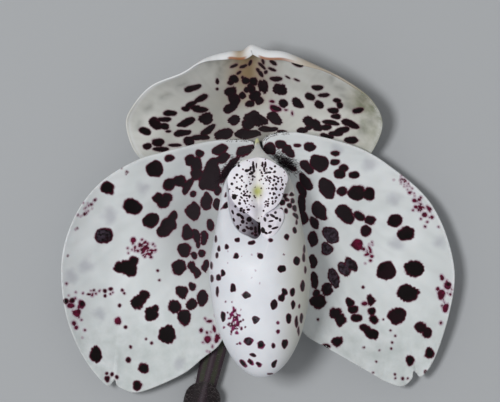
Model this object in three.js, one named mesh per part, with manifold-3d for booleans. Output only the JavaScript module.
// A picked slipper orchid of the Paphiopedilum bellatulum kind: one round, spotted bloom on its short cut stem, lying
// on its back. Millimetres. +Z is up and the bloom faces +Z, +Y runs from the lip to the dorsal sepal, and +X is to
// the right of someone who looks down into the bloom. The origin is under the middle of the whole cut flower, on the
// surface that it lies on.
//
// Every shape below is first made in the bloom's own frame, whose origin is on the surface right under the point
// where the sepals, petals, lip and column meet. FRAME_SHIFT then moves the whole flower over the part's origin.
import * as THREE from "three";
import { mergeVertices } from "three/addons/utils/BufferGeometryUtils.js";
import Module from "manifold-3d";

const wasm = await Module();
wasm.setup();

// ---- Driving dimensions, millimetres -------------------------------------------------------------------------------
const FRAME_SHIFT = [0, 27, 0];
const SURFACE_Z = 0;

const EDGE_OVERHANG = 0.35; // how far a blade's own thickness carries its outline past the margin points
const PETAL_HEART = 0.95; // thickness of a petal at its lowest, fleshiest point
const PETAL_EDGE = 0.62; // and at its margin
const SEPAL_HEART = 0.95;
const SEPAL_EDGE = 0.62;
const SYNSEPAL_HEART = 0.8;

const LIP_HALF_WIDTH = 9;
const LIP_HALF_LENGTH = 19.3;
const LIP_HALF_DEPTH = 8.5;
const LIP_CENTRE = [0.3, -19.6, 17.6];
const LIP_LEAN = 0.026; // how fast the pouch leans back as it nears the column
const LIP_DRIFT = 0.015; // how far its middle line drifts to the left, for each millimetre up
const LIP_WAIST = 0.09; // how much narrower it is behind its broadest place
const LIP_EARS = 0.35; // and how much broader again beside the column
const LIP_WALL = 0.85;
const LIP_POLE = 178.5; // degrees from the mouth's axis at which the rings of the wall end

const STAMINODE_THICKNESS = 1.05;
const STAMINODE_EDGE = 0.7;

const OVARY_RADIUS = 2.25;
const OVARY_RIBS = 6;
const PEDICEL_RADIUS = 1.75;
const STEM_RADIUS = 1.75;

// ---- Outlines: points on each margin, [x, y, z], anticlockwise as seen from above ----------------------------------
const PETAL_LEFT = {
  heart: [-24, -20, 0.5],
  cup: 1.7,
  midrib: [[-3, 1.5], [-25.7, -39.6]],
  margin: [
    [-1.9, 3.8, 9.4], [-7.7, 3.2, 8.6], [-12.5, 2.2, 8], [-16.8, 1.2, 7.4], [-21.4, -0.2, 6.8], [-27.6, -3.8, 6.2],
    [-32.2, -9.4, 6.6], [-34.8, -16.5, 7], [-35, -23.5, 6.4], [-33.7, -30, 5.8], [-30.7, -36.4, 5], [-26.9, -40.8, 4.4],
    [-25.7, -39.7, 4.1], [-24.5, -41.2, 4.3], [-21.1, -41.9, 4.6], [-13.8, -38.9, 5.8], [-9.8, -35.8, 6.9],
    [-6.6, -33, 7.7], [-5, -28, 8.3], [-4.3, -19, 8.6], [-3.6, -10, 8.7], [-3.1, -3.6, 8.9], [-3, -0.2, 9.1],
    [-2.8, 1.6, 9.3],
  ],
};

const PETAL_RIGHT = {
  heart: [24, -19.5, 0.5],
  cup: 1.7,
  midrib: [[3, 1.5], [28, -38]],
  margin: [
    [1.5, 4.1, 9.6], [2.8, 1.6, 9.4], [3, -0.2, 9.1], [3.1, -3.6, 8.9], [3.5, -10, 8.7], [4.2, -18, 8.6],
    [5.1, -25.5, 8.2], [8, -31.2, 7.2], [12.7, -34.2, 6], [20.1, -38.5, 5], [23.1, -40.2, 4.7], [25.8, -40.9, 4.5],
    [27.2, -39.8, 4.4], [28, -38.1, 4.2], [29.1, -39.2, 4.5], [31.4, -36.1, 5], [33.9, -28.7, 6.2],
    [35.1, -21.1, 6.8], [33.7, -14, 7], [30.5, -7.6, 6.5], [25, -2.4, 6.3], [18.2, 1.8, 7.2], [9.7, 4.2, 8.4],
    [4, 4.7, 9.2],
  ],
};

const DORSAL_SEPAL = {
  heart: [-0.4, 8.2, 0.5],
  cup: 1.75,
  midrib: [[0, 3], [-0.9, 20]],
  // The top margin, above this Y, rolls in between these two places in X. The roll fades out towards both of them.
  roll: { above: 8, from: -12, to: 13, radius: 0.8, angle: 150, fade: 0.6 },
  margin: [
    [-1.1, 19.9, 15.2], [-2.8, 18.9, 14.9], [-5.2, 18.7, 14.6], [-9.2, 17.6, 13.8], [-13.5, 15, 12.2],
    [-19.1, 12.6, 10.6], [-22.6, 8.6, 9.2], [-23.4, 5.5, 8.4], [-21.8, 1, 6.6], [-18.6, -1.6, 4.6], [-13, -2.2, 4],
    [-6.8, -0.4, 5], [-3.2, 1.9, 6.4], [0, 3.1, 6.9], [3.2, 1.9, 6.4], [6.8, -0.4, 5], [13.4, -2.2, 4],
    [18, -1.4, 4.6], [20.8, 2, 6.4], [22.1, 6.3, 8.4], [20, 10.4, 10], [15.5, 13.7, 12], [10.3, 16.3, 13.6],
    [4.9, 18.6, 14.6], [1.5, 19, 14.9],
  ],
};

const SYNSEPAL = {
  heart: [0, -14, 6.2],
  cup: 2,
  midrib: [[0, -4.6], [0, -26]],
  margin: [
    [0, -3.9, 8.7], [-2.4, -4.3, 8.2], [-5.6, -6.8, 6.3], [-7.6, -10.6, 4.8], [-8, -15, 4.4], [-7.6, -20, 4.6],
    [-5.4, -25, 5.8], [-1.5, -27.3, 6.6], [0, -26.6, 6.7], [1.5, -27.3, 6.6], [5.4, -25, 5.8], [7.6, -20, 4.6],
    [8, -15, 4.4], [7.6, -10.6, 4.8], [5.6, -6.8, 6.3], [2.4, -4.3, 8.2],
  ],
};

// The shield over the column: its two side lobes swell up, and a groove runs down its middle.
const STAMINODE = {
  heart: [-0.1, -5.6, 20.3],
  swell: 1.7,
  lobeAt: 2.6, // from the middle, where a lobe is at its full height
  rounding: 2.4, // how late the lobes fall off towards the margin
  groove: 0.55,
  grooveWidth: 0.8,
  margin: [
    [0.1, 0, 20.4], [-1.8, -0.3, 20.5], [-3.4, -1.1, 20.6], [-4.8, -2.3, 20.5], [-5.4, -3.8, 20.4],
    [-5.2, -5.6, 20.4], [-4.7, -7.3, 20.5], [-3.6, -8.7, 20.6], [-2, -9.8, 20.8], [0.3, -11.3, 21],
    [1.4, -9.9, 21], [3.1, -8.7, 20.7], [4.1, -7.4, 20.6], [4.7, -5.6, 20.5], [5.3, -3.6, 20.5], [4.7, -2.2, 20.5],
    [3.4, -1.2, 20.5], [1.8, -0.3, 20.5],
  ],
};

// The lip's mouth: the angle in degrees from the mouth's axis to its rim, and how deep the rim folds in, in
// millimetres, all the way round from the front. The right-hand margin folds in as a broad lobe.
const MOUTH_TILT = 62;
const MOUTH_RIM = [45, 27, 22, 23, 28, 37, 44, 50, 52, 50, 44, 40, 39, 43, 46, 46];
const RIM_FOLD = [1.2, 4.9, 5.3, 3.7, 1.8, 0.8, 0.4, 0.1, 0, 0.1, 0.4, 0.8, 1.1, 1.3, 1.3, 1.2];
const FOLD_ANGLE = 16; // degrees of the wall that fold in

// Centre lines, from the bloom to the cut.
const OVARY_PATH = [
  [0, 0.6, 7.7], [-0.3, -1.7, 5.6], [-1, -5, 3.7], [-2.4, -11, 2.5], [-5.1, -23, 2.35], [-8.2, -36, 2.35],
  [-9.9, -43, 2.5], [-11.7, -52, 2.6],
];
const STEM_PATH = [[-11.8, -52.5, 2.55], [-12.9, -58, 1.9], [-13.8, -65, 1.7], [-15, -74, 1.7]];
const BRACT_START = 0.995; // along the ovary's path, at the node that the bract clasps
const BRACT_TIP = 0.79;
const BRACT_WRAP = 118; // degrees that it reaches round the pedicel on each side
const BRACT_THICKNESS = 0.65;

// ---- Meshes --------------------------------------------------------------------------------------------------------
const vector = (p) => new THREE.Vector3(...p);
const radians = THREE.MathUtils.degToRad;
const clamp = THREE.MathUtils.clamp;

function onOrAboveSurface(p) {
  p.z = Math.max(p.z, SURFACE_Z);
  return p;
}

function geometryOf(points, triangles) {
  const geometry = new THREE.BufferGeometry();
  geometry.setAttribute("position", new THREE.Float32BufferAttribute(points.flatMap((p) => [p.x, p.y, p.z]), 3));
  geometry.setIndex(triangles.flat());
  geometry.computeVertexNormals();
  return geometry;
}

// The wall through rows of points that each run once round, as triangles over all the rows' points in turn.
function wallTriangles(rows) {
  const around = rows[0].length;
  return rows.slice(1).flatMap((_, row) => rows[0].flatMap((_, i) => {
    const next = (i + 1) % around;
    const [a, b] = [row * around + i, row * around + next];
    const [c, d] = [a + around, b + around];
    return [[a, b, d], [a, d, c]];
  }));
}

// A closed body whose first and last rows are each filled in from their own middle.
function closedRows(rows) {
  const around = rows[0].length;
  const points = rows.flat();
  const triangles = wallTriangles(rows);
  for (const [row, outward] of [[0, false], [rows.length - 1, true]]) {
    const middle = new THREE.Vector3();
    rows[row].forEach((p) => middle.addScaledVector(p, 1 / around));
    const centre = points.push(onOrAboveSurface(middle)) - 1;
    for (let i = 0; i < around; i++) {
      const [a, b] = [row * around + i, row * around + ((i + 1) % around)];
      triangles.push(outward ? [a, b, centre] : [b, a, centre]);
    }
  }
  return geometryOf(points, triangles);
}

// A closed leaf whose rows each run along one face and back along the other, so that its ends close like a ladder.
function closedLeaf(rows) {
  const around = rows[0].length;
  const triangles = wallTriangles(rows);
  for (const [start, outward] of [[0, false], [(rows.length - 1) * around, true]]) {
    for (let i = 0; i + 1 < around / 2; i++) {
      const [a, b] = [start + i, start + i + 1];
      const [c, d] = [start + around - 1 - i, start + around - 2 - i];
      triangles.push(...(outward ? [[a, b, d], [a, d, c]] : [[b, a, d], [d, a, c]]));
    }
  }
  return geometryOf(rows.flat(), triangles);
}

// ---- Blades: sepals, petals and staminode --------------------------------------------------------------------------
const STEP = 1e-3; // of turn or reach, over which a face's direction is measured
const BLADE_RINGS = [0.12, 0.33, 0.54, 0.72, 0.86, 0.94, 1];
const HEM_RINGS = [1.35, 1.7, 2]; // past the margin, where a rolled margin goes on: 2 is its very edge
const HEM_EVERYWHERE = 0.1; // share of the roll that the rest of the margin keeps
const CREASE = { depth: 0.15, width: 2 }; // of the midrib
const WAVES = { height: 0.28, count: 26, swells: 3, sharpness: 7 }; // of the margin, higher and lower in a few swells

// How far p lies from the segment from a to b, seen from above.
function distanceToRib(p, [a, b]) {
  const [abx, aby] = [b[0] - a[0], b[1] - a[1]];
  const along = clamp(((p.x - a[0]) * abx + (p.y - a[1]) * aby) / (abx * abx + aby * aby), 0, 1);
  return Math.hypot(p.x - a[0] - along * abx, p.y - a[1] - along * aby);
}

// The upper face of a sepal or petal: turn runs 0 to 1 round the margin, reach 0 to 1 from the heart out to it.
function bladeFace(blade, curve) {
  const heart = vector(blade.heart);
  return (turn, reach) => {
    const edge = curve.getPoint(turn);
    const span = edge.distanceTo(heart);
    const p = heart.clone().lerp(edge, reach * (1 - EDGE_OVERHANG / span));
    p.z = heart.z + (edge.z - heart.z) * reach ** blade.cup;
    p.z += WAVES.height * reach ** WAVES.sharpness
      * Math.sin(WAVES.count * Math.PI * turn) * Math.sin(WAVES.swells * Math.PI * turn);
    const away = distanceToRib(p, blade.midrib) / CREASE.width;
    p.z -= CREASE.depth * Math.exp(-(away ** 2)) * Math.sin(Math.PI * reach);
    return p;
  };
}

// The same face with its margin rolled in over it: reach goes on from 1 at the margin to 2 at the rolled edge.
function rolledFace(face, roll) {
  const nearMargin = 0.97;
  return (turn, reach) => {
    const edge = face(turn, Math.min(reach, 1));
    if (reach <= 1) return edge;
    const out = edge.clone().sub(face(turn, nearMargin)).normalize();
    const round = face((turn + STEP) % 1, 1).sub(face((turn + 1 - STEP) % 1, 1));
    const inward = out.clone().cross(round).normalize();
    const across = clamp((edge.x - roll.from) / (roll.to - roll.from), 0, 1);
    const share = edge.y > roll.above ? Math.sin(Math.PI * across) ** roll.fade : 0;
    const angle = radians(roll.angle) * (reach - 1) * Math.max(share, HEM_EVERYWHERE);
    return edge.addScaledVector(out, roll.radius * Math.sin(angle))
      .addScaledVector(inward, roll.radius * (1 - Math.cos(angle)));
  };
}

// The upper face of the shield, whose lobes swell on both sides of the groove.
function shieldFace(shield, curve) {
  const heart = vector(shield.heart);
  return (turn, reach) => {
    const p = heart.clone().lerp(curve.getPoint(turn), reach);
    const side = Math.min(1, Math.abs(p.x) / shield.lobeAt);
    const fall = 1 - reach ** shield.rounding;
    p.z += shield.swell * side * fall;
    p.z -= shield.groove * Math.exp(-((p.x / shield.grooveWidth) ** 2)) * fall;
    return p;
  };
}

function faceNormal(face, turn, reach, lastReach) {
  const inner = Math.max(reach - STEP, 0);
  const outer = Math.min(reach + STEP, lastReach);
  const out = face(turn, outer).sub(face(turn, inner));
  const round = face((turn + STEP) % 1, reach).sub(face((turn + 1 - STEP) % 1, reach));
  return out.cross(round).normalize();
}

function bladeSolid(face, rings, around, thicknessAt) {
  const top = rings.map((reach) => Array.from({ length: around }, (_, i) => face(i / around, reach)));
  const under = rings.map((reach, ring) =>
    top[ring].map((p, i) => {
      const n = faceNormal(face, i / around, reach, rings.at(-1));
      return onOrAboveSurface(p.clone().addScaledVector(n, -thicknessAt(Math.min(reach, 1))));
    }));
  return closedRows([...under, ...top.reverse()]);
}

function blade(spec, around, faceOf, heartThickness, edgeThickness) {
  const curve = new THREE.CatmullRomCurve3(spec.margin.map(vector), true, "catmullrom", 0.5);
  const thicknessAt = (reach) => THREE.MathUtils.lerp(heartThickness, edgeThickness, reach);
  const face = faceOf(spec, curve);
  if (!spec.roll) return bladeSolid(face, BLADE_RINGS, around, thicknessAt);
  return bladeSolid(rolledFace(face, spec.roll), [...BLADE_RINGS, ...HEM_RINGS], around, thicknessAt);
}

// ---- Lip -----------------------------------------------------------------------------------------------------------
// The pouch is an egg that leans back towards the column. A point on it is named by a direction from the egg's
// centre: away, the angle from the mouth's axis, and round, the angle about that axis from the front of the rim.
function lipPoint(away, round, inset) {
  const tilt = radians(MOUTH_TILT);
  const axis = new THREE.Vector3(0, Math.sin(tilt), Math.cos(tilt));
  const front = new THREE.Vector3(0, -Math.cos(tilt), Math.sin(tilt));
  const across = new THREE.Vector3(1, 0, 0);
  const d = axis.multiplyScalar(Math.cos(away))
    .addScaledVector(front, Math.sin(away) * Math.cos(round))
    .addScaledVector(across, Math.sin(away) * Math.sin(round));
  const shoulder = d.y > 0 ? 1 - LIP_WAIST * Math.sin(Math.PI * d.y) + LIP_EARS * d.y ** 4 : 1;
  const y = LIP_CENTRE[1] + (LIP_HALF_LENGTH - inset) * d.y;
  const lean = LIP_LEAN * Math.max(0, y - LIP_CENTRE[1]) ** 2 * (0.65 + 0.35 * d.z);
  return new THREE.Vector3(
    LIP_CENTRE[0] + (LIP_HALF_WIDTH - inset) * d.x * shoulder - LIP_DRIFT * (y - LIP_CENTRE[1]),
    y,
    LIP_CENTRE[2] - lean + (LIP_HALF_DEPTH - inset) * d.z,
  );
}

// The value at a place round the mouth, 0 to 1 from the front, from evenly spaced ones.
function roundMouth(values, place) {
  const [whole, share] = [Math.floor(place * values.length), (place * values.length) % 1];
  const [p0, p1, p2, p3] = [-1, 0, 1, 2].map((k) => values[(whole + k + values.length) % values.length]);
  return p1 + 0.5 * share * (p2 - p0 + share * (2 * p0 - 5 * p1 + 4 * p2 - p3 + share * (3 * (p1 - p2) + p3 - p0)));
}

function lipSolid(around, rings) {
  const row = (share, inset) => Array.from({ length: around }, (_, i) => {
    const rim = radians(roundMouth(MOUTH_RIM, i / around));
    const away = rim + (radians(LIP_POLE) - rim) * share;
    const folded = clamp(1 - (away - rim) / radians(FOLD_ANGLE), 0, 1);
    const p = lipPoint(away, (i / around) * 2 * Math.PI, inset);
    p.z -= roundMouth(RIM_FOLD, i / around) * folded ** 1.5;
    return p;
  });
  const shares = Array.from({ length: rings }, (_, i) => (i / (rings - 1)) ** 1.35);
  const outer = shares.map((s) => row(s, 0));
  const inner = shares.map((s) => row(s, LIP_WALL));
  return closedRows([...outer.reverse(), ...inner]);
}

// ---- Column --------------------------------------------------------------------------------------------------------
function manifoldOf(geometry) {
  const bare = geometry.index ? geometry.toNonIndexed() : geometry.clone();
  bare.deleteAttribute("normal");
  bare.deleteAttribute("uv");
  const merged = mergeVertices(bare, 1e-4);
  return new wasm.Manifold(new wasm.Mesh({
    numProp: 3,
    vertProperties: merged.attributes.position.array,
    triVerts: new Uint32Array(merged.index.array),
  }));
}

function geometryFrom(manifold) {
  const mesh = manifold.getMesh();
  const points = Array.from({ length: mesh.numVert }, (_, i) =>
    vector(mesh.vertProperties.slice(i * mesh.numProp, i * mesh.numProp + 3)));
  return geometryOf(points, [Array.from(mesh.triVerts)]);
}

function ellipsoid([rx, ry, rz], [x, y, z], tilt = 0) {
  return new THREE.SphereGeometry(1, 12, 8).scale(rx, ry, rz).rotateX(tilt).translate(x, y, z);
}

// The stout stalk of the column with its stigma, which looks down into the lip, and the two anthers beside it.
function columnSolid() {
  const profile = [[0, 0], [2.1, 0], [2.1, 2.6], [2, 6], [1.8, 8.9], [0, 9.3]];
  const stalk = new THREE.LatheGeometry(profile.map((p) => new THREE.Vector2(...p)), 16);
  stalk.rotateX(Math.PI / 2 + 0.16).translate(0, 0.7, 9.9);
  const stigma = ellipsoid([2.3, 1.9, 1.3], [0, -3.2, 15.9], 0.5);
  const anthers = [-1, 1].map((side) => ellipsoid([1.05, 1.5, 1.1], [side * 2.2, -1.7, 16.8]));
  return geometryFrom([stigma, ...anthers].reduce((whole, g) => whole.add(manifoldOf(g)), manifoldOf(stalk)));
}

// ---- Ovary, stem and bract -----------------------------------------------------------------------------------------
// The plane across a centre line: its middle, the way to the side, and the way up from the surface.
function crossPlane(curve, along) {
  const forward = curve.getTangent(along);
  const side = new THREE.Vector3(0, 0, 1).cross(forward).normalize();
  const up = forward.clone().cross(side);
  const at = (angle, radius) => curve.getPoint(along)
    .addScaledVector(up, Math.cos(angle) * radius)
    .addScaledVector(side, -Math.sin(angle) * radius);
  return (angle, radius) => onOrAboveSurface(at(angle, radius));
}

const centreLine = (path) => new THREE.CatmullRomCurve3(path.map(vector), false, "catmullrom", 0.5);

// Rows of points round a centre line. radiusAt(along, angle) is the distance from the line, and angle 0 points up.
function tubeRows(path, alongs, around, radiusAt) {
  const curve = centreLine(path);
  return alongs.map((along) => {
    const pointAt = crossPlane(curve, along);
    const angles = Array.from({ length: around }, (_, i) => (i / around) * 2 * Math.PI);
    return angles.map((angle) => pointAt(angle, radiusAt(along, angle)));
  });
}

const evenly = (count) => Array.from({ length: count }, (_, i) => i / (count - 1));

// Six ribs run down the ovary, which narrows into the pedicel.
function ovaryRadius(along, angle) {
  const thick = THREE.MathUtils.lerp(OVARY_RADIUS, PEDICEL_RADIUS, THREE.MathUtils.smoothstep(along, 0.6, 0.95));
  const rib = 0.11 * Math.cos(OVARY_RIBS * angle) * Math.sin(Math.PI * clamp(along * 1.15, 0, 1));
  const shoulder = 1 - 0.12 * Math.exp(-((along / 0.04) ** 2));
  return thick * shoulder * (1 + rib);
}

function stemRadius(along) {
  return STEM_RADIUS * (1 + 0.12 * Math.exp(-((along / 0.08) ** 2)));
}

// The bract clasps the node at its foot and opens into a keeled, pointed hood over the pedicel.
function bractSolid(lengthwise, across) {
  const curve = centreLine(OVARY_PATH);
  const point = (u, v, lift) => {
    const pointAt = crossPlane(curve, THREE.MathUtils.lerp(BRACT_START, BRACT_TIP, u));
    const angle = v * radians(BRACT_WRAP) * (1 - u ** 2.2) ** 0.75;
    const keel = 0.45 * Math.exp(-((angle / 0.28) ** 2)) * (1 - 0.3 * u);
    return pointAt(angle, PEDICEL_RADIUS + 0.6 + 0.7 * u + keel + lift);
  };
  const places = evenly(across).map((s) => 2 * s - 1);
  return closedLeaf(evenly(lengthwise).map((s) => {
    const u = Math.min(s, 0.985);
    return [...places.map((v) => point(u, v, 0)), ...places.toReversed().map((v) => point(u, v, BRACT_THICKNESS))];
  }));
}

// ---- Assembly ------------------------------------------------------------------------------------------------------
const material = (color, roughness) => new THREE.MeshStandardMaterial({ color, roughness, metalness: 0 });
const ivory = material(0xdfe1dd, 0.6);
const ivoryLip = material(0xe6e5e6, 0.45);
const white = material(0xe9e6ee, 0.5);
const cream = material(0xdfe0c8, 0.5);
const ribbedPurple = material(0x4a3a42, 0.7);
const darkBract = material(0x33262e, 0.65);
const stemPurple = material(0x54434a, 0.7);

const flower = new THREE.Group();

function addPiece(name, geometry, finish) {
  const piece = new THREE.Mesh(geometry, finish);
  piece.name = name;
  flower.add(piece);
}

addPiece("dorsal_sepal", blade(DORSAL_SEPAL, 60, bladeFace, SEPAL_HEART, SEPAL_EDGE), ivory);
addPiece("synsepal", blade(SYNSEPAL, 36, bladeFace, SYNSEPAL_HEART, SEPAL_EDGE), ivory);
addPiece("petal_left", blade(PETAL_LEFT, 62, bladeFace, PETAL_HEART, PETAL_EDGE), ivory);
addPiece("petal_right", blade(PETAL_RIGHT, 62, bladeFace, PETAL_HEART, PETAL_EDGE), ivory);
addPiece("lip_pouch", lipSolid(40, 14), ivoryLip);
addPiece("staminode", blade(STAMINODE, 36, shieldFace, STAMINODE_THICKNESS, STAMINODE_EDGE), white);
addPiece("column", columnSolid(), cream);
addPiece("ovary", closedRows(tubeRows(OVARY_PATH, evenly(22), 24, ovaryRadius)), ribbedPurple);
addPiece("floral_bract", bractSolid(10, 13), darkBract);
addPiece("flower_stem", closedRows(tubeRows(STEM_PATH, evenly(12), 16, stemRadius)), stemPurple);

flower.position.set(...FRAME_SHIFT);

export default flower;
